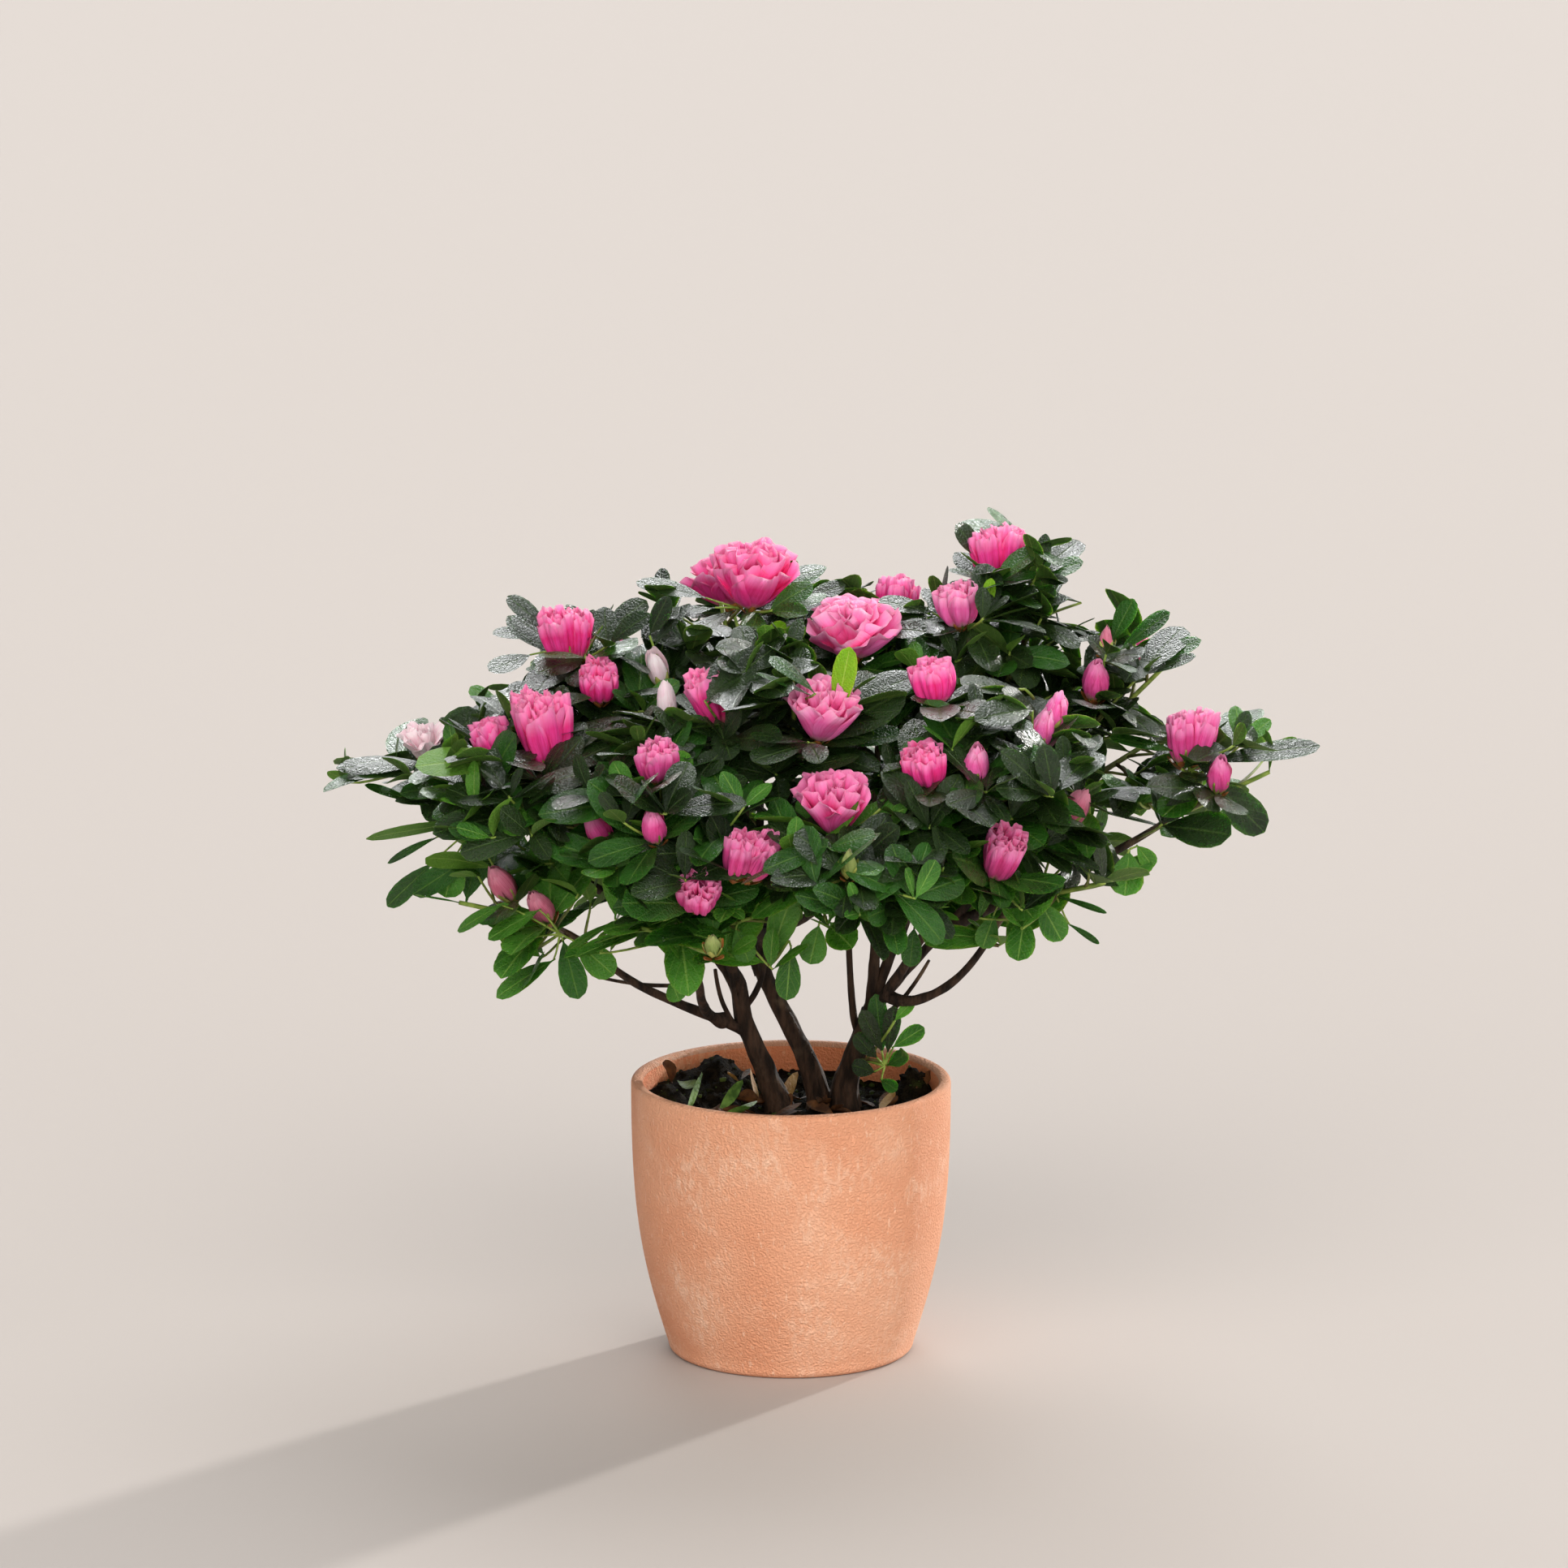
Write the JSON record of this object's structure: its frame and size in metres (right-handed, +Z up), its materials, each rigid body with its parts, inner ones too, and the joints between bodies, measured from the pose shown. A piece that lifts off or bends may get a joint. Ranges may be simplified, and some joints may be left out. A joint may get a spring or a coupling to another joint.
{
  "type": "potted azalea shrub",
  "caption": "Small azalea shrub with a wide leafy crown and ruffled pink blooms, standing in a round terracotta pot of soil.",
  "frame": {"origin": "centre of the pot's flat underside, on the pot's axis", "axes": "+Z up along the pot's axis, +X to the right and +Y away from the front of the plant"},
  "size_m": [0.4241, 0.3167, 0.3669],
  "materials": {
    "terracotta": "matte",
    "soil": "matte",
    "bark": "matte",
    "foliage": "satin"
  },
  "bodies": {
    "root": {"bough_back_centre": "bark", "bough_back_far_right": "bark", "bough_back_left": "bark", "bough_back_low_left": "bark", "bough_back_low_right": "bark", "bough_back_right": "bark", "bough_centre": "bark", "bough_far_left": "bark", "bough_far_right": "bark", "bough_front_centre": "bark", "bough_front_left": "bark", "bough_front_right": "bark", "bough_left": "bark", "bough_low_front": "bark", "bough_lower_left": "bark", "bough_lower_right": "bark", "bough_top_centre": "bark", "bough_top_left": "bark", "bough_top_right": "bark", "bough_upper_left": "bark", "bough_upper_right": "bark", "foliage_back_centre": "foliage", "foliage_back_far_right": "foliage", "foliage_back_left": "foliage", "foliage_back_low_left": "foliage", "foliage_back_low_right": "foliage", "foliage_back_right": "foliage", "foliage_centre": "foliage", "foliage_far_left": "foliage", "foliage_far_right": "foliage", "foliage_foot_shoot": "foliage", "foliage_front_centre": "foliage", "foliage_front_left": "foliage", "foliage_front_right": "foliage", "foliage_left": "foliage", "foliage_low_front": "foliage", "foliage_lower_left": "foliage", "foliage_lower_right": "foliage", "foliage_top_centre": "foliage", "foliage_top_left": "foliage", "foliage_top_right": "foliage", "foliage_upper_left": "foliage", "foliage_upper_right": "foliage", "pot": "terracotta", "potting_soil": "soil", "stem_left": "bark", "stem_middle": "bark", "stem_right": "bark"}
  },
  "joints": []
}
